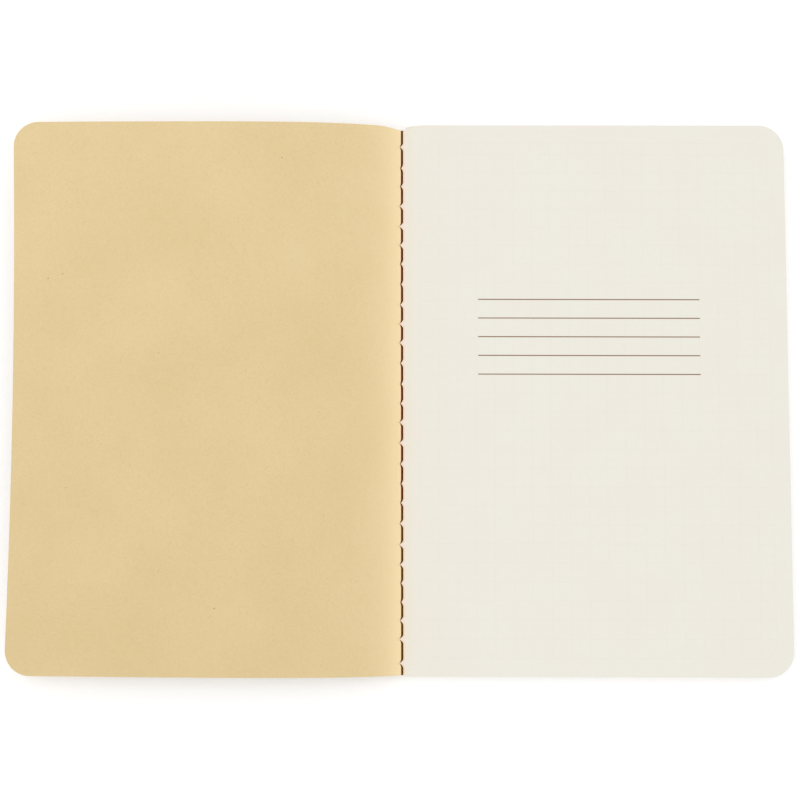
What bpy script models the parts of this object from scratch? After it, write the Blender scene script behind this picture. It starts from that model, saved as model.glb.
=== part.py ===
"""Pocket notebook: one sewn signature of folded sheets in a card cover, lying open at its first page.

Metres, +Z up. +X runs across the spread, with the opened front cover at -X and the sheets at +X.
+Y runs up the page. The origin is at the bottom centre of the open notebook's box.
"""

import math

import bmesh
import bpy
from mathutils import Vector

MM = 0.001

# Page and cover
PAGE_HEIGHT = 148 * MM
PAGE_REACH = 102.9 * MM  # from the fold's outermost point to the fore edge
COVER_REACH = 103.7 * MM  # from the crease to the opened cover's free edge
CORNER_RADIUS = 6.8 * MM
CORNER_STEPS = 6

# Sheets
SHEET_COUNT = 20
PAPER_THICKNESS = 0.09 * MM
LEAF_GAP = 0.015 * MM
CENTRE_GAP = 0.36 * MM  # room for the inner thread between the two middle leaves
FOLD_ROUND = 9.0 * MM  # radius of each half of the pointed fold, on the first sheet's outer face
FOLD_STEPS = 8

# Card cover
CARD_THICKNESS = 0.35 * MM
BLOCK_CLEARANCE = 0.3 * MM  # between the first sheet and the card round it
CREASE_CLEARANCE = 0.15 * MM  # between the spine's fixed half and the front cover's edge
SPINE_STEPS = 8

# Opened front cover: it springs up from the crease, then falls slowly to its free edge
SPRING_RISE = 7.0 * MM
SPRING_RUN = 17.0 * MM
SPRING_FALL = 2.4 * MM
SPINE_STRIP_WIDTH = 3.0 * MM  # the half of the spine that turns with the front cover
BEND_STRIP_END = 14.0 * MM  # the card bends as far as this from the crease
FLEX_GAP = 0.1 * MM  # between two stretches of the same card
BEND_STEPS = 5
PANEL_STEPS = 12

# Turns of the front cover's stretches from fully open to closed
CREASE_CLOSE = math.radians(102)
FLEX_CLOSE = math.radians(59)
PANEL_CLOSE = math.radians(178.5)

# Thread: one lockstitch row through the fold
THREAD_RADIUS = 0.15 * MM
THREAD_CLEARANCE = 0.12 * MM
STITCH_COUNT = 26
FIRST_HOLE_INSET = 3.9 * MM
LAST_HOLE_INSET = 2.8 * MM
STITCH_DIP = 0.08 * MM  # how far the outer thread sinks in at a hole
THREAD_DIRECTION = math.radians(236)  # from the crease to the outer thread, seen with +X right and +Z up

# Worked out from the sizes above
HALF_HEIGHT = PAGE_HEIGHT / 2
LEAF_PITCH = PAPER_THICKNESS + LEAF_GAP
HALF_BLOCK = SHEET_COUNT * LEAF_PITCH - LEAF_GAP + CENTRE_GAP / 2
ARC_CENTRE_DROP = FOLD_ROUND - HALF_BLOCK  # each fold arc is centred this far past the middle
FOLD_DEPTH = math.sqrt(FOLD_ROUND**2 - ARC_CENTRE_DROP**2)
CARD_FOLD_ROUND = FOLD_ROUND + BLOCK_CLEARANCE
GUTTER_WIDTH = math.sqrt(CARD_FOLD_ROUND**2 - ARC_CENTRE_DROP**2) - FOLD_DEPTH
FOLD_X = (COVER_REACH + GUTTER_WIDTH - PAGE_REACH) / 2
FLAT_X = FOLD_X + FOLD_DEPTH
FORE_EDGE_X = FOLD_X + PAGE_REACH
CREASE_X = FOLD_X - GUTTER_WIDTH
MIDDLE_Z = CARD_THICKNESS + BLOCK_CLEARANCE + HALF_BLOCK
THREAD_OFFSET = CARD_THICKNESS + STITCH_DIP + THREAD_RADIUS + THREAD_CLEARANCE


def clear_scene():
    for item in list(bpy.data.objects):
        bpy.data.objects.remove(item, do_unlink=True)


def material(name, colour, roughness):
    made = bpy.data.materials.new(name)
    made.use_nodes = True
    shader = made.node_tree.nodes["Principled BSDF"]
    shader.inputs["Base Color"].default_value = (*colour, 1.0)
    shader.inputs["Roughness"].default_value = roughness
    shader.inputs["Metallic"].default_value = 0.0
    return made


def place(name, data, finish, pivot=(0.0, 0.0, 0.0), parent=None):
    """Adds an object with its origin at the pivot. Pivots are given in world coordinates."""
    data.materials.append(finish)
    made = bpy.data.objects.new(name, data)
    bpy.context.scene.collection.objects.link(made)
    if parent is None:
        made.location = Vector(pivot)
    else:
        made.parent = parent
        made.location = Vector(pivot) - parent.matrix_world.translation
    bpy.context.view_layer.update()
    return made


def band(name, rows, pivot=(0.0, 0.0, 0.0)):
    """A closed sheet swept through rows of (outer point, inner point, half height)."""
    work = bmesh.new()
    rings = []
    for outer, inner, half in rows:
        corners = ((outer, -half), (inner, -half), (inner, half), (outer, half))
        points = (Vector((p[0], y, p[1])) - Vector(pivot) for p, y in corners)
        rings.append([work.verts.new(point) for point in points])
    work.faces.new(rings[0])
    work.faces.new(reversed(rings[-1]))
    for before, after in zip(rings, rings[1:]):
        for k in range(4):
            following = (k + 1) % 4
            work.faces.new((before[following], before[k], after[k], after[following]))
    bmesh.ops.recalc_face_normals(work, faces=work.faces)
    data = bpy.data.meshes.new(name)
    work.to_mesh(data)
    work.free()
    data.shade_smooth()
    data.set_sharp_from_angle(angle=math.radians(30))
    return data


def corner_rows(reach, steps=CORNER_STEPS):
    """Distances and half heights round a page's outer corner, up to the free edge at reach."""
    rows = []
    for step in range(steps + 1):
        turn = math.pi / 2 * step / steps
        along = reach - CORNER_RADIUS * (1 - math.sin(turn))
        rows.append((along, HALF_HEIGHT - CORNER_RADIUS * (1 - math.cos(turn))))
    return rows


def fold_point(radius, turn, side):
    """A point on one half of a pointed fold: turned from the flat leaf (0) towards the fold's tip."""
    height = radius * math.cos(turn) - ARC_CENTRE_DROP
    return (FLAT_X - radius * math.sin(turn), MIDDLE_Z + side * height)


def fold_rows(outer, inner, steps, side):
    """Rows round one half of a fold, from the flat leaf to the tip where the halves meet."""
    rows = []
    for step in range(steps + 1):
        share = step / steps
        ends = [fold_point(r, math.acos(ARC_CENTRE_DROP / r) * share, side) for r in (outer, inner)]
        rows.append((ends[0], ends[1], HALF_HEIGHT))
    return rows


def sheet_rows(index):
    """One folded sheet, from its lower fore edge round the fold to its upper fore edge."""
    outer = FOLD_ROUND - index * LEAF_PITCH
    inner = outer - PAPER_THICKNESS
    halves = []
    for side in (-1, 1):
        faces = (MIDDLE_Z + side * (outer - ARC_CENTRE_DROP), MIDDLE_Z + side * (inner - ARC_CENTRE_DROP))
        flat = [((x, faces[0]), (x, faces[1]), half) for x, half in reversed(corner_rows(FORE_EDGE_X))]
        halves.append(flat + fold_rows(outer, inner, FOLD_STEPS, side))
    lower, upper = halves
    return lower + upper[-2::-1]


def back_cover_rows():
    """The back cover and the half of the spine that it carries, ending just under the crease."""
    rows = [((x, 0.0), (x, CARD_THICKNESS), half) for x, half in reversed(corner_rows(FORE_EDGE_X))]
    edge_depth = ARC_CENTRE_DROP + CARD_THICKNESS + CREASE_CLEARANCE
    last_turn = math.acos(edge_depth / CARD_FOLD_ROUND)
    for step in range(SPINE_STEPS + 1):
        turn = last_turn * step / SPINE_STEPS
        outer = fold_point(CARD_FOLD_ROUND + CARD_THICKNESS, turn, -1)
        rows.append((outer, fold_point(CARD_FOLD_ROUND, turn, -1), HALF_HEIGHT))
    return rows


def spring(distance):
    """Height of the opened cover's inner face over the crease, and its slope there."""
    decay = math.exp(-distance / SPRING_RUN)
    height = SPRING_RISE * (1 - decay) - SPRING_FALL * distance / COVER_REACH
    slope = SPRING_RISE / SPRING_RUN * decay - SPRING_FALL / COVER_REACH
    return height, slope


def cover_point(distance, depth=0.0):
    """A point in the opened front cover's card, as deep as depth below its inner face."""
    height, slope = spring(distance)
    length = math.hypot(1.0, slope)
    x = CREASE_X - distance - depth * slope / length
    return (x, MIDDLE_Z + height - depth / length)


def turned(point, pivot, angle):
    """The point after a turn about the pivot, in the direction that closes the cover."""
    dx, dz = point[0] - pivot[0], point[1] - pivot[1]
    along, across = math.cos(angle), math.sin(angle)
    return (pivot[0] + dx * along + dz * across, pivot[1] - dx * across + dz * along)


def panel_pivot():
    """The point about which one turn takes the panel from its open place to its closed place."""
    edge = cover_point(BEND_STRIP_END)
    flexed = turned(edge, cover_point(SPINE_STRIP_WIDTH), FLEX_CLOSE)
    closed = turned(flexed, cover_point(0.0), CREASE_CLOSE)
    half_x, half_z = (closed[0] - edge[0]) / 2, (closed[1] - edge[1]) / 2
    spread = math.tan(PANEL_CLOSE / 2)
    return (edge[0] + half_x + half_z / spread, edge[1] + half_z - half_x / spread)


def front_rows(start, end, steps, rounded=False):
    stops = [(start + (end - start) * step / steps, HALF_HEIGHT) for step in range(steps + 1)]
    if rounded:
        stops += corner_rows(COVER_REACH)[1:]
    return [(cover_point(s, CARD_THICKNESS), cover_point(s), half) for s, half in stops]


def thread_path(x, z, sink):
    """Points of a running thread that sinks by the vector sink at each hole of the row."""
    top = HALF_HEIGHT - FIRST_HOLE_INSET
    pitch = (PAGE_HEIGHT - FIRST_HOLE_INSET - LAST_HOLE_INSET) / STITCH_COUNT
    points = []
    for stitch in range(STITCH_COUNT + 1):
        y = top - pitch * stitch
        points.append((x + sink[0], y, z + sink[1]))
        if stitch < STITCH_COUNT:
            points.append((x, y - pitch / 4, z))
            points.append((x, y - pitch * 3 / 4, z))
    return points


def thread(name, points):
    """A thread is one curve with a round section and filled ends."""
    data = bpy.data.curves.new(name, "CURVE")
    data.dimensions = "3D"
    data.bevel_depth = THREAD_RADIUS
    data.bevel_resolution = 1
    data.use_fill_caps = True
    spline = data.splines.new("POLY")
    spline.points.add(len(points) - 1)
    for point, place_of in zip(spline.points, points):
        point.co = (*place_of, 1.0)
    return data


def build_sheets(paper):
    for index in range(SHEET_COUNT):
        name = f"sheet_{index + 1:02d}"
        place(name, band(name, sheet_rows(index)), paper)


def build_cover(card):
    place("back_cover", band("back_cover", back_cover_rows()), card)
    # The front cover turns in three stretches: two narrow ones and the panel, which has its own pivot.
    x, z = cover_point(0.0)
    rows = front_rows(FLEX_GAP / 2, SPINE_STRIP_WIDTH - FLEX_GAP, 2)
    strip = place("front_spine_strip", band("front_spine_strip", rows, (x, 0.0, z)), card, (x, 0.0, z))
    x, z = cover_point(SPINE_STRIP_WIDTH)
    rows = front_rows(SPINE_STRIP_WIDTH + FLEX_GAP / 2, BEND_STRIP_END - FLEX_GAP, BEND_STEPS)
    place("front_bend_strip", band("front_bend_strip", rows, (x, 0.0, z)), card, (x, 0.0, z), strip)
    x, z = panel_pivot()
    rows = front_rows(BEND_STRIP_END + FLEX_GAP / 2, COVER_REACH - CORNER_RADIUS, PANEL_STEPS, True)
    place("front_cover", band("front_cover", rows, (x, 0.0, z)), card, (x, 0.0, z))


def build_thread(yarn):
    out = (math.cos(THREAD_DIRECTION), math.sin(THREAD_DIRECTION))
    x = CREASE_X + THREAD_OFFSET * out[0]
    z = MIDDLE_Z + THREAD_OFFSET * out[1]
    sink = (-out[0] * STITCH_DIP, -out[1] * STITCH_DIP)
    place("spine_thread", thread("spine_thread", thread_path(x, z, sink)), yarn)
    path = thread_path(FLAT_X + THREAD_RADIUS, MIDDLE_Z, (0.0, 0.0))
    place("centre_thread", thread("centre_thread", path), yarn)


def main():
    clear_scene()
    build_sheets(material("cream_paper", (0.84, 0.81, 0.74), 0.85))
    build_cover(material("kraft_card", (0.77, 0.61, 0.33), 0.8))
    build_thread(material("cotton_thread", (0.80, 0.76, 0.66), 0.75))


main()
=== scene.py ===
"""Thin sewn pocket notebook in a kraft card cover, lying open at its first page, in metres."""

import math

import bpy
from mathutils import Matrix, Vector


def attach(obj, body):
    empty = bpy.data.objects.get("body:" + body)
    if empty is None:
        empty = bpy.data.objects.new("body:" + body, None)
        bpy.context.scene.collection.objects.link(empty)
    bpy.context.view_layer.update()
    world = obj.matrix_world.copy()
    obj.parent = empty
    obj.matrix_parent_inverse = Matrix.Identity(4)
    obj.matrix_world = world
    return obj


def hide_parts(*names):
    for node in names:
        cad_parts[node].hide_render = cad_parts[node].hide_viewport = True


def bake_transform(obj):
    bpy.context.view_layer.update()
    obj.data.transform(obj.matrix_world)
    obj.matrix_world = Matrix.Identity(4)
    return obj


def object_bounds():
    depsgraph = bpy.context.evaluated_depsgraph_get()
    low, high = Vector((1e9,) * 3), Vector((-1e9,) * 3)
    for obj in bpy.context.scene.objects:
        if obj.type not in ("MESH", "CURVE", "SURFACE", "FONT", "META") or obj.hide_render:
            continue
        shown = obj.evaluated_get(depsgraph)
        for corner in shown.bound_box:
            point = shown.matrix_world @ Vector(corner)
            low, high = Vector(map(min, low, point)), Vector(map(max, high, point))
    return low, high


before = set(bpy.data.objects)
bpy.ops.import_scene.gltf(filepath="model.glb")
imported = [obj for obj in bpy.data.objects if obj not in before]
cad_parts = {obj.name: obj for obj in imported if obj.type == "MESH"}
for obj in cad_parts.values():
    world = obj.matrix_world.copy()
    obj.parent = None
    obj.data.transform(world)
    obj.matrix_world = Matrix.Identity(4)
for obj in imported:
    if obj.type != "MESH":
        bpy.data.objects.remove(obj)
cad_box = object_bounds()

# Back cover and spine
# One piece of uncoated kraft card, die cut with rounded outer corners and folded round the sheets.
# It is sewn to them through the fold, and opens along one crease above the row of stitches.
MM = 0.001
HALF_HEIGHT = 74.0 * MM
PAGE_REACH = 102.9 * MM  # from the fold's outermost point to the fore edge
COVER_REACH = 103.7 * MM  # from the crease to the opened cover's free edge
CORNER_RADIUS = 6.8 * MM
CORNER_SEGMENTS = 14
SHEET_COUNT = 20
PAPER_THICKNESS = 0.09 * MM
LEAF_GAP = 0.015 * MM
CENTRE_GAP = 0.36 * MM  # between the two middle leaves
CARD_THICKNESS = 0.35 * MM
CARD_CLEARANCE = 0.3 * MM  # between the first sheet and the card round it
FOLD_ROUND = 9.0 * MM  # radius of each half of the pointed fold, on the first sheet's outer face
HALF_BLOCK = SHEET_COUNT * (PAPER_THICKNESS + LEAF_GAP) - LEAF_GAP + CENTRE_GAP / 2
MIDDLE_Z = CARD_THICKNESS + CARD_CLEARANCE + HALF_BLOCK
ARC_CENTRE_DROP = FOLD_ROUND - HALF_BLOCK  # each fold arc is centred this far past the middle
FOLD_TURN = math.acos(ARC_CENTRE_DROP / FOLD_ROUND)
CARD_FOLD_ROUND = FOLD_ROUND + CARD_CLEARANCE
CARD_FOLD_TURN = math.acos(ARC_CENTRE_DROP / CARD_FOLD_ROUND)
FORE_EDGE_X = cad_box[1].x
FLAT_X = FORE_EDGE_X - PAGE_REACH + FOLD_ROUND * math.sin(FOLD_TURN)  # the leaves lie flat from here
CREASE_X = FLAT_X - CARD_FOLD_ROUND * math.sin(CARD_FOLD_TURN)

SPRING_RISE = 7.0 * MM  # the opened cover springs up from the crease, then falls slowly to its free edge
SPRING_RUN = 17.0 * MM
SPRING_FALL = 2.4 * MM
FREE_EDGE_SHIFT = -0.08 * MM  # the free edge isn't quite straight: it reaches further out towards its ends
FREE_EDGE_LEAN = 0.0078
FREE_EDGE_BOW = 0.2  # per metre
FOOT_LIFT = 0.4 * MM  # its foot corner curls up by this much along the page
CREASE_BLEND = 0.7 * MM  # the card bends this far to each side of its crease
CREASE_SHARE = 1.2 * MM  # where the spine's piece of card ends on the front cover
FOLD_COLUMN = 0.25 * MM  # between the lines of vertices beside the crease

FIRST_HOLE_Y = 69.1 * MM  # the first and the last stitch are longer than the rest
SECOND_HOLE_Y = 63.0 * MM
LAST_HOLE_Y = -70.85 * MM
HOLE_PITCH = 5.39 * MM
INNER_HOLES = 25  # between the first and the last
HOLE_CROWDING = 1.93 * MM  # the stitches shorten towards the foot by this much in all
HOLE_CROWDING_RUN = 2.0  # in holes
HOLE_WANDER = 0.2 * MM  # no two stitches are equally long
HOLE_WANDER_TURN = 1.55  # radians from hole to hole
HOLE_CUTS = [cut * MM for cut in (-1.1, -0.6, -0.3, -0.12, 0.0, 0.12, 0.3, 0.6, 1.1)]  # rows of vertices
PULL_WIDTH = 1.1 * MM  # half the length of fold that a stitch pulls in
PULL_SHARPNESS = 1.6
TIGHTNESS = 0.85  # share of the full pull, with its swing from stitch to stitch
TIGHTNESS_SWING = 0.33
TIGHTNESS_TURN = 5.1  # radians from hole to hole
CARD_PULL = 0.36 * MM
CARD_PULL_RUN = 1.4 * MM
CARD_PULL_DROP = 0.4  # the card also sinks by this share of the pull
FOLD_LEAN = 0.0025  # the fold isn't quite parallel to the fore edge
FOLD_SHIFT = -0.455 * MM
FOLD_LEAN_RUN = 16.0 * MM  # distance from the fold at which the leaves lie true again
HEAD_DIP = 0.8 * MM  # the crease draws in at the head of the spine
HEAD_DIP_RUN = 5.0 * MM
HEAD_DIP_SHARPNESS = 6

hole_places = [FIRST_HOLE_Y]
for count in range(INNER_HOLES):
    crowding = HOLE_CROWDING * math.exp(-(((INNER_HOLES - 1 - count) / HOLE_CROWDING_RUN) ** 2))
    wander = HOLE_WANDER * math.cos(HOLE_WANDER_TURN * (count + 1))
    hole_places.append(SECOND_HOLE_Y - HOLE_PITCH * count + crowding - wander)
hole_places.append(LAST_HOLE_Y)
hole_rows = [place + cut for place in hole_places for cut in HOLE_CUTS]


def spread(first, last, steps):
    """Evenly spaced places between first and last, without first and last."""
    return [first + (last - first) * step / steps for step in range(1, steps)]


def cut_sheet(name, left, right, columns, rows, rounded):
    """A flat sheet cut to size, with its rounded ends and lines of vertices at the columns and rows."""
    bpy.ops.object.select_all(action="DESELECT")
    bpy.ops.mesh.primitive_plane_add(size=1.0, calc_uvs=False)
    sheet = bpy.context.object
    sheet.name = name
    sheet.data.name = name
    bpy.ops.object.mode_set(mode="EDIT")
    bpy.ops.transform.resize(value=(right - left, 2 * HALF_HEIGHT, 1.0))
    bpy.ops.transform.translate(value=((left + right) / 2, 0.0, 0.0))
    bpy.ops.mesh.select_mode(type="VERT")
    bpy.ops.mesh.select_all(action="DESELECT")
    bpy.ops.object.mode_set(mode="OBJECT")
    for corner in sheet.data.vertices:
        corner.select = any(abs(corner.co.x - end) < CORNER_RADIUS for end in rounded)
    bpy.ops.object.mode_set(mode="EDIT")
    if rounded:
        bpy.ops.mesh.bevel(offset=CORNER_RADIUS, segments=CORNER_SEGMENTS, affect="VERTICES")
    for place in rows:
        bpy.ops.mesh.select_all(action="SELECT")
        bpy.ops.mesh.bisect(plane_co=(0.0, place, 0.0), plane_no=(0.0, 1.0, 0.0))
    for place in columns:
        bpy.ops.mesh.select_all(action="SELECT")
        bpy.ops.mesh.bisect(plane_co=(place, 0.0, 0.0), plane_no=(1.0, 0.0, 0.0))
    bpy.ops.object.mode_set(mode="OBJECT")
    flat = sheet.data.uv_layers.new(name="flat")
    for corner in sheet.data.loops:
        place = sheet.data.vertices[corner.vertex_index].co
        flat.data[corner.index].uv = (place.x / MM, place.y / MM)
    return sheet


def bend_sheet(sheet, path, thickness):
    """Lays the sheet along the path, gives it its thickness below, smooths it and marks its upper faces."""
    for point in sheet.data.vertices:
        point.co = path(point.co.x, point.co.y)
    inner_count = len(sheet.data.polygons)
    wall = sheet.modifiers.new("thickness", "SOLIDIFY")
    wall.thickness = thickness
    wall.offset = -1.0
    wall.use_even_offset = True
    bpy.ops.object.select_all(action="DESELECT")
    bpy.context.view_layer.objects.active = sheet
    sheet.select_set(True)
    bpy.ops.object.modifier_apply(modifier="thickness")
    bpy.ops.object.shade_smooth_by_angle(angle=math.radians(35))
    inner = sheet.data.attributes.new("inner_face", "FLOAT", "CORNER")
    for face in sheet.data.polygons[:inner_count]:
        for corner in face.loop_indices:
            inner.data[corner].value = 1.0


def nearest_hole(y):
    """The number of the nearest needle hole, and how far it is."""
    return min((abs(y - hole), count) for count, hole in enumerate(hole_places))[::-1]


def stitch_pull(y):
    """How hard the nearest stitch pulls the fold here. No two stitches are equally tight."""
    count, away = nearest_hole(y)
    tight = TIGHTNESS + TIGHTNESS_SWING * math.sin(TIGHTNESS_TURN * count)
    return tight * max(0.0, 1.0 - away / PULL_WIDTH) ** PULL_SHARPNESS


def head_dip(distance, y):
    """How far the head of the spine draws in along the page."""
    height = max(0.0, y / HALF_HEIGHT) ** HEAD_DIP_SHARPNESS
    return HEAD_DIP * height * max(0.0, 1.0 - distance / HEAD_DIP_RUN)


def fold_lean(distance, y):
    """Sideways shift of the fold and of the leaves beside it."""
    return (FOLD_SHIFT - FOLD_LEAN * y) * max(0.0, 1.0 - distance / FOLD_LEAN_RUN) ** 2


def card_path(along, y):
    """The card's inner face: along is 0 at the crease, + over the spine and back cover, - over the front."""
    reach = max(0.0, -along / COVER_REACH)
    if along <= 0.0:
        distance = -along
        decay = math.exp(-distance / SPRING_RUN)
        x = CREASE_X - distance
        z = MIDDLE_Z + SPRING_RISE * (1 - decay) - SPRING_FALL * distance / COVER_REACH
    elif along < CARD_FOLD_ROUND * CARD_FOLD_TURN:
        turn = CARD_FOLD_TURN - along / CARD_FOLD_ROUND
        x = FLAT_X - CARD_FOLD_ROUND * math.sin(turn)
        z = MIDDLE_Z - CARD_FOLD_ROUND * math.cos(turn) + ARC_CENTRE_DROP
    else:
        x = FLAT_X + along - CARD_FOLD_ROUND * CARD_FOLD_TURN
        z = CARD_THICKNESS
    bow = FREE_EDGE_SHIFT + FREE_EDGE_LEAN * y + FREE_EDGE_BOW * y * y
    pull = stitch_pull(y) * max(0.0, 1.0 - abs(along) / CARD_PULL_RUN) * CARD_PULL
    x += fold_lean(abs(along), y) - bow * reach - pull
    lift = FOOT_LIFT * reach * max(0.0, -y / HALF_HEIGHT)
    return x, y + lift - head_dip(abs(along), y), z - CARD_PULL_DROP * pull


def linear(code):
    """A colour socket's value from an sRGB hex code."""
    parts = [int(code[i : i + 2], 16) / 255 for i in (1, 3, 5)]
    return (*(p / 12.92 if p <= 0.04045 else ((p + 0.055) / 1.055) ** 2.4 for p in parts), 1.0)


def add_node(tree, kind, inputs=(), **settings):
    """Adds a node with its settings. An input is a value, or the output that is linked to it."""
    made = tree.nodes.new(kind)
    for name, value in settings.items():
        setattr(made, name, value)
    for name, value in dict(inputs).items():
        if isinstance(value, bpy.types.NodeSocket):
            tree.links.new(value, made.inputs[name])
        else:
            made.inputs[name].default_value = value
    return made


def lay_over(tree, colour, layers):
    """The colour with others laid over it in turn, each with its share."""
    for share, cover in layers:
        colour = add_node(tree, "ShaderNodeMix", {0: share, 6: colour, 7: cover}, data_type="RGBA").outputs[2]
    return colour


# Uncoated kraft card, calendered: a warm tan with a soft fibre mottle and a few darker specks of bark.
# Lengths on its pattern are in millimetres.
# The mottle is drawn at 0.7 mm, coarser than single fibres, because those are too fine to show.
MOTTLE = 0.7
CLOUD = 26.0
PALE_FIBRE = 2.6  # one curl of a fibre
DARK_FIBRE = 3.1
FIBRE_WIDTH = 0.02  # share of the noise's range that is drawn as fibre
BARK_SPACING = 4.5
BARK_HEAP = 18.0
BARK_SIZE = 0.06  # share of the spacing
BARK_STRENGTH = 0.55
# reach of the painted highlight beside the crease, in millimetres
CREASE_LIGHT_RUN = 4.5
BUMP_HEIGHT = 0.02 * MM

kraft = bpy.data.materials.new("uncoated_kraft_card")
kraft.use_nodes = True
tree = kraft.node_tree
shader = tree.nodes["Principled BSDF"]
shader.inputs["Roughness"].default_value = 0.82
shader.inputs["Specular IOR Level"].default_value = 0.12
flat = add_node(tree, "ShaderNodeUVMap", uv_map="flat").outputs["UV"]
sides = add_node(tree, "ShaderNodeSeparateXYZ", {"Vector": flat})
across, up = sides.outputs["X"], sides.outputs["Y"]
mottle = add_node(
    tree,
    "ShaderNodeTexNoise",
    {"Vector": flat, "Scale": 1 / MOTTLE, "Detail": 4.0, "Roughness": 0.6},
).outputs["Fac"]
cloud = add_node(tree, "ShaderNodeTexNoise", {"Vector": flat, "Scale": 1 / CLOUD, "Detail": 3.0})
cloudy = add_node(
    tree,
    "ShaderNodeMapRange",
    {"Value": cloud.outputs["Fac"], "From Min": 0.35, "From Max": 0.65, "To Min": 0.0, "To Max": 0.5},
).outputs["Result"]

# Single fibres show as short curled strands, some paler and some darker than the rest.
fibres = []
for curl, strength in ((PALE_FIBRE, 0.22), (DARK_FIBRE, 0.19)):
    strand = add_node(
        tree,
        "ShaderNodeTexNoise",
        {"Vector": flat, "Scale": 1 / curl, "Detail": 3.0, "Roughness": 0.65, "Distortion": 2.2},
    ).outputs["Fac"]
    ridge = add_node(tree, "ShaderNodeMath", {0: strand, 1: 0.5}, operation="SUBTRACT").outputs[0]
    ridge = add_node(tree, "ShaderNodeMath", {0: ridge}, operation="ABSOLUTE").outputs[0]
    fibre = add_node(
        tree,
        "ShaderNodeMapRange",
        {"Value": ridge, "From Min": 0.0, "From Max": FIBRE_WIDTH, "To Min": strength, "To Max": 0.0},
    )
    fibres.append(fibre.outputs["Result"])

# Specks of bark lie in heaps, with clear card between them.
bark = add_node(tree, "ShaderNodeTexVoronoi", {"Vector": flat, "Scale": 1 / BARK_SPACING}).outputs["Distance"]
heap = add_node(tree, "ShaderNodeTexNoise", {"Vector": flat, "Scale": 1 / BARK_HEAP})
size = add_node(
    tree,
    "ShaderNodeMapRange",
    {"Value": heap.outputs["Fac"], "From Min": 0.45, "From Max": 0.7, "To Min": 0.0, "To Max": BARK_SIZE},
).outputs["Result"]
speck = add_node(tree, "ShaderNodeMath", {0: bark, 1: size}, operation="LESS_THAN").outputs[0]
speck = add_node(tree, "ShaderNodeMath", {0: speck, 1: BARK_STRENGTH}, operation="MULTIPLY").outputs[0]

# The card is a little darker towards its foot. Beside the crease it is painted paler, a painted highlight for
# the light that the card's slope catches there.
half_height = HALF_HEIGHT / MM
low = add_node(
    tree,
    "ShaderNodeMapRange",
    {"Value": up, "From Min": -half_height, "From Max": half_height, "To Min": 0.1, "To Max": 0.0},
).outputs["Result"]
from_crease = add_node(tree, "ShaderNodeMath", {0: across, 1: CREASE_LIGHT_RUN}, operation="DIVIDE").outputs[0]
painted_crease_light = add_node(tree, "ShaderNodeMath", {0: from_crease}, operation="EXPONENT", use_clamp=True).outputs[0]

# Painted shade: inside the spine, the card seen through the slit beside the fold is painted a dark brown for
# the deep shade in the fold, redder between its ends.
painted_slit_shade_mask = add_node(tree, "ShaderNodeAttribute", attribute_name="inner_face").outputs["Fac"]
in_fold = add_node(
    tree,
    "ShaderNodeMapRange",
    {"Value": across, "From Min": 0.0, "From Max": 0.12, "To Min": 0.0, "To Max": 1.0},
).outputs["Result"]
past_fold = add_node(
    tree,
    "ShaderNodeMapRange",
    {"Value": across, "From Min": 1.2, "From Max": 2.5, "To Min": 1.0, "To Max": 0.0},
).outputs["Result"]
for limit in (in_fold, past_fold):
    painted_slit_shade_mask = add_node(tree, "ShaderNodeMath", {0: painted_slit_shade_mask, 1: limit}, operation="MULTIPLY").outputs[0]
foot = add_node(
    tree,
    "ShaderNodeMapRange",
    {"Value": up, "From Min": -34.0, "From Max": -26.0, "To Min": 1.0, "To Max": 0.0},
).outputs["Result"]
head = add_node(
    tree,
    "ShaderNodeMapRange",
    {"Value": up, "From Min": 65.0, "From Max": 70.0, "To Min": 0.0, "To Max": 1.0},
).outputs["Result"]
ends = add_node(tree, "ShaderNodeMath", {0: foot, 1: head}, operation="MAXIMUM").outputs[0]
painted_slit_shade = lay_over(tree, linear("#722802"), [(ends, linear("#6C480E"))])

kraft_layers = [
    (mottle, linear("#EBD3A5")),
    (cloudy, linear("#DFC694")),
    (fibres[0], linear("#FBE8BE")),
    (fibres[1], linear("#B89A66")),
    (speck, linear("#8A6A3C")),
    (low, linear("#B4925C")),
    # painted highlight beside the crease, where the card's slope catches the light
    (painted_crease_light, linear("#FDE5B6")),
    # painted shade in the fold, seen through the slit
    (painted_slit_shade_mask, painted_slit_shade),
]
tree.links.new(lay_over(tree, linear("#E3CC9A"), kraft_layers), shader.inputs["Base Color"])
relief = add_node(tree, "ShaderNodeBump", {"Height": mottle, "Strength": 0.35, "Distance": BUMP_HEIGHT})
tree.links.new(relief.outputs["Normal"], shader.inputs["Normal"])

arc_end = CARD_FOLD_ROUND * CARD_FOLD_TURN
back_end = FORE_EDGE_X - FLAT_X + arc_end
crease_columns = [step * FOLD_COLUMN for step in range(-4, 5)]
back_columns = crease_columns + spread(crease_columns[-1], arc_end, steps=10)
back_columns += [arc_end, back_end - CORNER_RADIUS]
card_back = cut_sheet("card_back", -CREASE_SHARE, back_end, back_columns, hole_rows, [back_end])
bend_sheet(card_back, card_path, CARD_THICKNESS)
card_back.data.materials.append(kraft)
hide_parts("back_cover")
blend_start = card_path(CREASE_BLEND, 0.0)
blend_end = card_path(-CREASE_BLEND, 0.0)
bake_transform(card_back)

# Root of the front cover
# The same card where it springs up from the crease.
# It carries on from the spine without a joint.
FLEX_AT = 3.0 * MM
FLEX_BEFORE = 1.6 * MM
FLEX_AFTER = 2.0 * MM
BEND_END = 14.0 * MM
ROOT_LAP = 0.11 * MM  # the outer edge runs into the front cover's, so no gap opens when it is closed
EDGE_WIDTH = 0.3 * MM  # the end's edge is found within this

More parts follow.
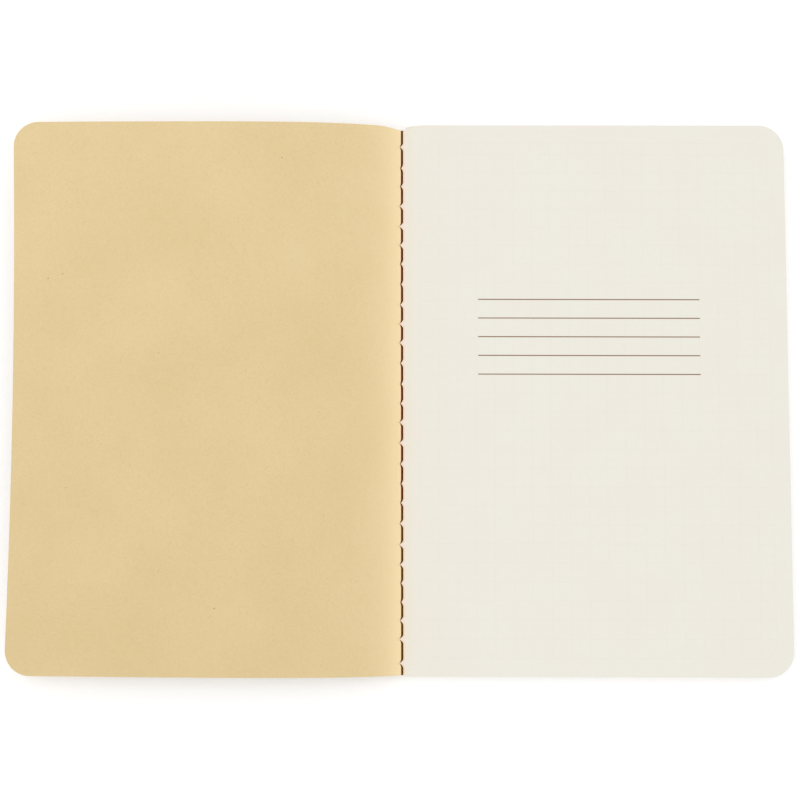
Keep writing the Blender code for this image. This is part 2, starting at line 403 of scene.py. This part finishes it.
root_columns = spread(-BEND_END, -CREASE_SHARE, steps=18)
card_rows = spread(-HALF_HEIGHT, HALF_HEIGHT, steps=8)
card_root = cut_sheet("card_root", -BEND_END, -CREASE_SHARE, root_columns, card_rows, [])
bend_sheet(card_root, card_path, CARD_THICKNESS)
card_root.data.materials.append(kraft)
end_x, _, end_z = card_path(-BEND_END, 0.0)
for point in card_root.data.vertices:
    if point.co.x < end_x + EDGE_WIDTH and point.co.z < end_z - CARD_THICKNESS / 2:
        point.co.x -= ROOT_LAP
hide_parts("front_spine_strip", "front_bend_strip")
blend_start = card_path(-FLEX_AT + FLEX_BEFORE, 0.0)
blend_end = card_path(-FLEX_AT - FLEX_AFTER, 0.0)
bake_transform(card_root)

# Front cover
# The flat leaf of the same card, seen from inside: bare kraft with its two rounded outer corners.
# It stands a few millimetres off the table, held up by the card's own spring.
front_columns = spread(-COVER_REACH, -BEND_END, steps=26)
card_front = cut_sheet("card_front", -COVER_REACH, -BEND_END, front_columns, card_rows, [-COVER_REACH])
bend_sheet(card_front, card_path, CARD_THICKNESS)
card_front.data.materials.append(kraft)
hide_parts("front_cover")
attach(card_front, "front_panel")

# First sheet
# The outermost of twenty folded sheets of cream writing paper; its upper leaf is the first page.
# The stitches pull its fold into a small point at each needle hole. Five lines for notes are printed on it.
PAPER_PULL = 0.95 * MM
PAPER_PULL_RUN = 1.0 * MM
PAPER_PULL_SHARPNESS = 1.3
PAPER_SLACK = 0.2 * MM  # between stitches the fold stands this much further from the card


def sheet_path(along, y):
    """The sheet's outer face: along is 0 at the fold, + over the upper leaf, - over the lower leaf."""
    side = 1.0 if along >= 0.0 else -1.0
    distance = abs(along)
    if distance < FOLD_ROUND * FOLD_TURN:
        turn = FOLD_TURN - distance / FOLD_ROUND
        x = FLAT_X - FOLD_ROUND * math.sin(turn)
        height = FOLD_ROUND * math.cos(turn) - ARC_CENTRE_DROP
    else:
        x = FLAT_X + distance - FOLD_ROUND * FOLD_TURN
        height = HALF_BLOCK
    pull = stitch_pull(y) * max(0.0, 1.0 - distance / PAPER_PULL_RUN) ** PAPER_PULL_SHARPNESS
    slack = PAPER_SLACK * max(0.0, 1.0 - distance / FOLD_LEAN_RUN)
    x += fold_lean(distance, y) + slack - PAPER_PULL * pull
    return x, y - head_dip(distance, y), MIDDLE_Z + side * height


# Uncoated cream writing paper: matt, with a faint cloudy formation and some warmer patches.
# Lengths on its pattern are in millimetres.
FORMATION = 1.6
PATCH = 16.0
TOOTH_HEIGHT = 0.01 * MM


def paper_finish(name, coordinates):
    """The paper's material, with the outputs that hold its colour and the place on it."""
    finish = bpy.data.materials.new(name)
    finish.use_nodes = True
    leaf_tree = finish.node_tree
    leaf = leaf_tree.nodes["Principled BSDF"]
    leaf.inputs["Roughness"].default_value = 0.9
    leaf.inputs["Specular IOR Level"].default_value = 0.2
    if coordinates == "flat":
        place = add_node(leaf_tree, "ShaderNodeUVMap", uv_map="flat").outputs["UV"]
    else:
        shared = add_node(leaf_tree, "ShaderNodeTexCoord").outputs["Object"]
        in_mm = (1 / MM, 1 / MM, 1 / MM)
        place = add_node(leaf_tree, "ShaderNodeMapping", {"Vector": shared, "Scale": in_mm}).outputs["Vector"]
    formation = add_node(
        leaf_tree,
        "ShaderNodeTexNoise",
        {"Vector": place, "Scale": 1 / FORMATION, "Detail": 4.0},
    ).outputs["Fac"]
    patches = add_node(leaf_tree, "ShaderNodeTexNoise", {"Vector": place, "Scale": 1 / PATCH, "Detail": 2.0})
    warmth = add_node(
        leaf_tree,
        "ShaderNodeMapRange",
        {"Value": patches.outputs["Fac"], "From Min": 0.4, "From Max": 0.65, "To Min": 0.0, "To Max": 0.5},
    ).outputs["Result"]
    paper_layers = [(formation, linear("#F0EDE3")), (warmth, linear("#EFE9DE"))]
    colour = lay_over(leaf_tree, linear("#ECE9DE"), paper_layers)
    leaf_tree.links.new(colour, leaf.inputs["Base Color"])
    tooth = add_node(
        leaf_tree,
        "ShaderNodeBump",
        {"Height": formation, "Strength": 0.2, "Distance": TOOTH_HEIGHT},
    )
    leaf_tree.links.new(tooth.outputs["Normal"], leaf.inputs["Normal"])
    return finish, colour, place


# Five lines are printed in brown. The print is placed in millimetres from the fold and from mid-height.
LINE_LEFT = 20.45
LINE_RIGHT = 80.0
LINE_FOOT = 6.05
LINE_HEAD = 26.25
LINE_PITCH = 5.05
LINE_HALF = 0.13
LINE_SOFTNESS = 0.05
LINE_MARGIN = 1.0  # above the first line and below the last, so that both are drawn whole

first_page, page_colour, page_place = paper_finish("printed_cream_paper", "flat")
tree = first_page.node_tree
split = add_node(tree, "ShaderNodeSeparateXYZ", {"Vector": page_place})
across, up = split.outputs["X"], split.outputs["Y"]
raised = add_node(tree, "ShaderNodeMath", {0: up, 1: LINE_FOOT}, operation="SUBTRACT").outputs[0]
from_line = add_node(tree, "ShaderNodeMath", {0: raised, 1: LINE_PITCH / 2}, operation="PINGPONG").outputs[0]
thin, wide = LINE_HALF - LINE_SOFTNESS, LINE_HALF + LINE_SOFTNESS
ink = add_node(
    tree,
    "ShaderNodeMapRange",
    {"Value": from_line, "From Min": thin, "From Max": wide, "To Min": 1.0, "To Max": 0.0},
).outputs["Result"]
foot, head = LINE_FOOT - LINE_MARGIN, LINE_HEAD + LINE_MARGIN
for place, first, last in ((across, LINE_LEFT, LINE_RIGHT), (up, foot, head)):
    middle, half = (first + last) / 2, (last - first) / 2
    within = add_node(tree, "ShaderNodeMath", {0: place, 1: middle, 2: half}, operation="COMPARE").outputs[0]
    ink = add_node(tree, "ShaderNodeMath", {0: ink, 1: within}, operation="MULTIPLY").outputs[0]

# The sheet's other side is ruled in 5 mm squares within a round-cornered frame, and shows through faintly.
GRID_PITCH = 5.0
GRID_MIDDLE_X = 51.9
GRID_HALF_WIDTH = 47.0
GRID_HALF_HEIGHT = 69.1
GRID_CORNER = 4.0
RULE_HALF = 0.14
SHOW_THROUGH = 0.032

reaches = []
for place, middle, half in ((across, GRID_MIDDLE_X, GRID_HALF_WIDTH), (up, 0.0, GRID_HALF_HEIGHT)):
    offset = add_node(tree, "ShaderNodeMath", {0: place, 1: middle}, operation="SUBTRACT").outputs[0]
    reach = add_node(tree, "ShaderNodeMath", {0: offset}, operation="ABSOLUTE").outputs[0]
    straight = half - GRID_CORNER
    past = add_node(tree, "ShaderNodeMath", {0: reach, 1: straight}, operation="SUBTRACT").outputs[0]
    reaches.append(add_node(tree, "ShaderNodeMath", {0: past, 1: 0.0}, operation="MAXIMUM").outputs[0])
corner_place = add_node(tree, "ShaderNodeCombineXYZ", {"X": reaches[0], "Y": reaches[1]}).outputs[0]
from_corner = add_node(tree, "ShaderNodeVectorMath", {0: corner_place}, operation="LENGTH").outputs["Value"]
inside = add_node(tree, "ShaderNodeMath", {0: from_corner, 1: GRID_CORNER}, operation="LESS_THAN").outputs[0]
ruled = add_node(
    tree,
    "ShaderNodeMath",
    {0: from_corner, 1: GRID_CORNER, 2: RULE_HALF},
    operation="COMPARE",
).outputs[0]
for place, first in ((across, GRID_MIDDLE_X - GRID_HALF_WIDTH), (up, -GRID_HALF_HEIGHT)):
    offset = add_node(tree, "ShaderNodeMath", {0: place, 1: first}, operation="SUBTRACT").outputs[0]
    folded = add_node(tree, "ShaderNodeMath", {0: offset, 1: GRID_PITCH / 2}, operation="PINGPONG").outputs[0]
    rule = add_node(tree, "ShaderNodeMath", {0: folded, 1: RULE_HALF}, operation="LESS_THAN").outputs[0]
    rule = add_node(tree, "ShaderNodeMath", {0: rule, 1: inside}, operation="MULTIPLY").outputs[0]
    ruled = add_node(tree, "ShaderNodeMath", {0: ruled, 1: rule}, operation="MAXIMUM").outputs[0]
faint = add_node(tree, "ShaderNodeMath", {0: ruled, 1: SHOW_THROUGH}, operation="MULTIPLY").outputs[0]

# Near the fold the paper is a little warmer. Right beside the card it is painted pinkish, a painted
# reflection of light bounced off the kraft card.
beside = add_node(tree, "ShaderNodeMath", {0: across}, operation="ABSOLUTE").outputs[0]
near = add_node(
    tree,
    "ShaderNodeMapRange",
    {"Value": beside, "From Min": 8.0, "From Max": 24.0, "To Min": 0.15, "To Max": 0.0},
).outputs["Result"]
painted_card_bounce = add_node(
    tree,
    "ShaderNodeMapRange",
    {"Value": beside, "From Min": 0.1, "From Max": 0.7, "To Min": 0.55, "To Max": 0.0},
).outputs["Result"]
page_layers = [
    (faint, linear("#B4AFA4")),
    (near, linear("#EFE3D0")),
    # painted reflection of the kraft card, right beside the fold
    (painted_card_bounce, linear("#FFCFB6")),
    (ink, linear("#845E36")),
]
printed = lay_over(tree, page_colour, page_layers)
tree.links.new(printed, tree.nodes["Principled BSDF"].inputs["Base Color"])

fold_end = FOLD_ROUND * FOLD_TURN
leaf_end = FORE_EDGE_X - FLAT_X + fold_end
upper_columns = [share * PAPER_PULL_RUN for share in (0.2, 0.45, 0.75, 1.0)]
upper_columns += spread(PAPER_PULL_RUN, fold_end, steps=8) + [fold_end, leaf_end - CORNER_RADIUS]
sheet_columns = [-place for place in upper_columns] + [0.0] + upper_columns
first_sheet = cut_sheet("first_sheet", -leaf_end, leaf_end, sheet_columns, hole_rows, [-leaf_end, leaf_end])
bend_sheet(first_sheet, sheet_path, PAPER_THICKNESS)
first_sheet.data.materials.append(first_page)
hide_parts("sheet_01")
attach(first_sheet, "block")

# Inner sheets
# Nineteen more sheets of the same paper, nested in the first and trimmed with it.
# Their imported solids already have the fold, the leaves and the rounded corners, so only the paper is added.
plain_page = paper_finish("plain_cream_paper", "object")[0]
for count in range(2, SHEET_COUNT + 1):
    inner_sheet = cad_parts[f"sheet_{count:02d}"]
    inner_sheet.data.materials.clear()
    inner_sheet.data.materials.append(plain_page)

# Stitching
# One row of lockstitch in natural cotton thread of two twisted plies, from head to foot of the spine.
# The outer thread dips at each needle hole, where the inner thread locks it in the fold.
THREAD_DIRECTION = math.radians(236)  # from the crease to the outer thread, seen with +X right and +Z up
THREAD_OFFSET = 0.7 * MM
STITCH_DIP = 0.08 * MM  # how far the outer thread sinks in at a hole
PLY_RADIUS = 0.08 * MM
PLY_ORBIT = 0.07 * MM  # from the thread's middle to a ply's
PLY_LAY = 0.95 * MM  # length of one turn of the twist
POINTS_A_TURN = 8
HAIR = 0.12 * MM
FUZZ_HEIGHT = 0.02 * MM

# Spun cotton: off-white and matt, with fine hairs that break its edge and take a soft sheen.
thread = bpy.data.materials.new("spun_cotton_thread")
thread.use_nodes = True
tree = thread.node_tree
shader = tree.nodes["Principled BSDF"]
shader.inputs["Roughness"].default_value = 0.75
shader.inputs["Sheen Weight"].default_value = 0.2
shared = add_node(tree, "ShaderNodeTexCoord").outputs["Object"]
hair = add_node(
    tree,
    "ShaderNodeTexNoise",
    {"Vector": shared, "Scale": 1 / HAIR, "Detail": 3.0},
).outputs["Fac"]
cotton = lay_over(tree, linear("#D8CFBA"), [(hair, linear("#EFE8D8"))])
tree.links.new(cotton, shader.inputs["Base Color"])
fuzz = add_node(tree, "ShaderNodeBump", {"Height": hair, "Strength": 0.5, "Distance": FUZZ_HEIGHT})
tree.links.new(fuzz.outputs["Normal"], shader.inputs["Normal"])

out_x, out_z = math.cos(THREAD_DIRECTION), math.sin(THREAD_DIRECTION)
thread_length = FIRST_HOLE_Y - LAST_HOLE_Y
point_count = int(thread_length / PLY_LAY * POINTS_A_TURN)
plies = []
for ply in range(2):
    curve = bpy.data.curves.new(f"ply_{ply + 1}", "CURVE")
    curve.dimensions = "3D"
    curve.bevel_depth = PLY_RADIUS
    curve.bevel_resolution = 1
    curve.use_fill_caps = True
    line = curve.splines.new("POLY")
    line.points.add(point_count)
    for count, point in enumerate(line.points):
        y = FIRST_HOLE_Y - thread_length * count / point_count
        dip = STITCH_DIP * max(0.0, 1.0 - nearest_hole(y)[1] / PULL_WIDTH) ** PULL_SHARPNESS
        turn = 2 * math.pi * count / POINTS_A_TURN + math.pi * ply
        x = CREASE_X + fold_lean(0.0, y) + (THREAD_OFFSET - dip) * out_x + PLY_ORBIT * math.cos(turn)
        z = MIDDLE_Z + (THREAD_OFFSET - dip) * out_z + PLY_ORBIT * math.sin(turn)
        point.co = (x, y, z, 1.0)
    strand = bpy.data.objects.new(f"ply_{ply + 1}", curve)
    bpy.context.scene.collection.objects.link(strand)
    plies.append(strand)
bpy.ops.object.select_all(action="DESELECT")
for strand in plies:
    strand.select_set(True)
bpy.context.view_layer.objects.active = plies[0]
bpy.ops.object.convert(target="MESH")
bpy.ops.object.join()
spine_stitches = bpy.context.object
spine_stitches.name = "spine_stitches"
bpy.ops.object.shade_smooth()
spine_stitches.data.materials.clear()
spine_stitches.data.materials.append(thread)
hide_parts("spine_thread")
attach(spine_stitches, "block")
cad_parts["centre_thread"].data.materials.clear()
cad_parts["centre_thread"].data.materials.append(thread)

# Floor, light and camera
# A plain white table top under a wide, even studio light that comes slightly from the upper left.
# The camera stands over the notebook, a little towards its foot, as in the photograph.
FLOOR_SIZE = 6.0
FLOOR_DROP = 0.05 * MM  # just clear of the card that lies on it
NEAR_LIFT = 0.09  # the ground shows pure white, so the table top gives off a little light, more far away
FAR_LIFT = 0.2
NEAR_GROUND = 0.25
FAR_GROUND = 1.6
STUDIO_LEVEL = 0.82  # the white room lights the notebook a little less than it shows to the camera
LAMP_SIZE = 1.4
LAMP_POWER = 7.0
LAMP_PLACE = (-0.4, 0.25, 1.7)
LAMP_TURN = (math.radians(-8), math.radians(-13), 0.0)
LENS = 50.56
SENSOR_WIDTH = 36.0
CAMERA_PLACE = (0.1 * MM, -21.33 * MM, 305.18 * MM)
CAMERA_TURN = (math.radians(3.885), math.radians(0.104), math.radians(0.12))
WHITE = linear("#FFFFFF")


def in_sight(tree):
    """1 for what the camera sees, also by a mirror or through glass, and 0 for light that falls on things."""
    path = add_node(tree, "ShaderNodeLightPath")
    seen = path.outputs["Is Camera Ray"]
    for ray in (path.outputs["Is Glossy Ray"], path.outputs["Is Transmission Ray"]):
        seen = add_node(tree, "ShaderNodeMath", {0: seen, 1: ray}, operation="MAXIMUM").outputs[0]
    return seen


bpy.ops.object.select_all(action="DESELECT")
bpy.ops.mesh.primitive_plane_add(size=FLOOR_SIZE, location=(0.0, 0.0, -FLOOR_DROP))
floor = bpy.context.object
floor.name = "floor"
table_top = bpy.data.materials.new("white_table_top")
table_top.use_nodes = True
tree = table_top.node_tree
shader = tree.nodes["Principled BSDF"]
shader.inputs["Base Color"].default_value = WHITE
shader.inputs["Emission Color"].default_value = WHITE
shader.inputs["Roughness"].default_value = 1.0
shader.inputs["Specular IOR Level"].default_value = 0.0
place = add_node(tree, "ShaderNodeTexCoord").outputs["Object"]
distance = add_node(tree, "ShaderNodeVectorMath", {0: place}, operation="LENGTH").outputs["Value"]
fade = add_node(
    tree,
    "ShaderNodeMapRange",
    {
        "Value": distance,
        "From Min": NEAR_GROUND,
        "From Max": FAR_GROUND,
        "To Min": NEAR_LIFT,
        "To Max": FAR_LIFT,
    },
).outputs["Result"]
lift = add_node(tree, "ShaderNodeMath", {0: in_sight(tree), 1: fade}, operation="MULTIPLY").outputs[0]
tree.links.new(lift, shader.inputs["Emission Strength"])
floor.data.materials.append(table_top)

scene = bpy.context.scene
scene.view_settings.view_transform = "Standard"
world = bpy.data.worlds.new("studio")
world.use_nodes = True
tree = world.node_tree
background = tree.nodes["Background"]
background.inputs["Color"].default_value = WHITE
level = add_node(tree, "ShaderNodeMapRange", {"Value": in_sight(tree), "To Min": STUDIO_LEVEL, "To Max": 1.0})
tree.links.new(level.outputs["Result"], background.inputs["Strength"])
scene.world = world

softbox = bpy.data.lights.new("softbox", "AREA")
softbox.shape = "SQUARE"
softbox.size = LAMP_SIZE
softbox.energy = LAMP_POWER
lamp = bpy.data.objects.new("softbox", softbox)
lamp.location = LAMP_PLACE
lamp.rotation_euler = LAMP_TURN
scene.collection.objects.link(lamp)

camera = bpy.data.cameras.new("camera")
camera.lens = LENS
camera.sensor_width = SENSOR_WIDTH
camera.clip_start = 0.01
viewer = bpy.data.objects.new("camera", camera)
viewer.location = CAMERA_PLACE
viewer.rotation_euler = CAMERA_TURN
scene.collection.objects.link(viewer)
scene.camera = viewer
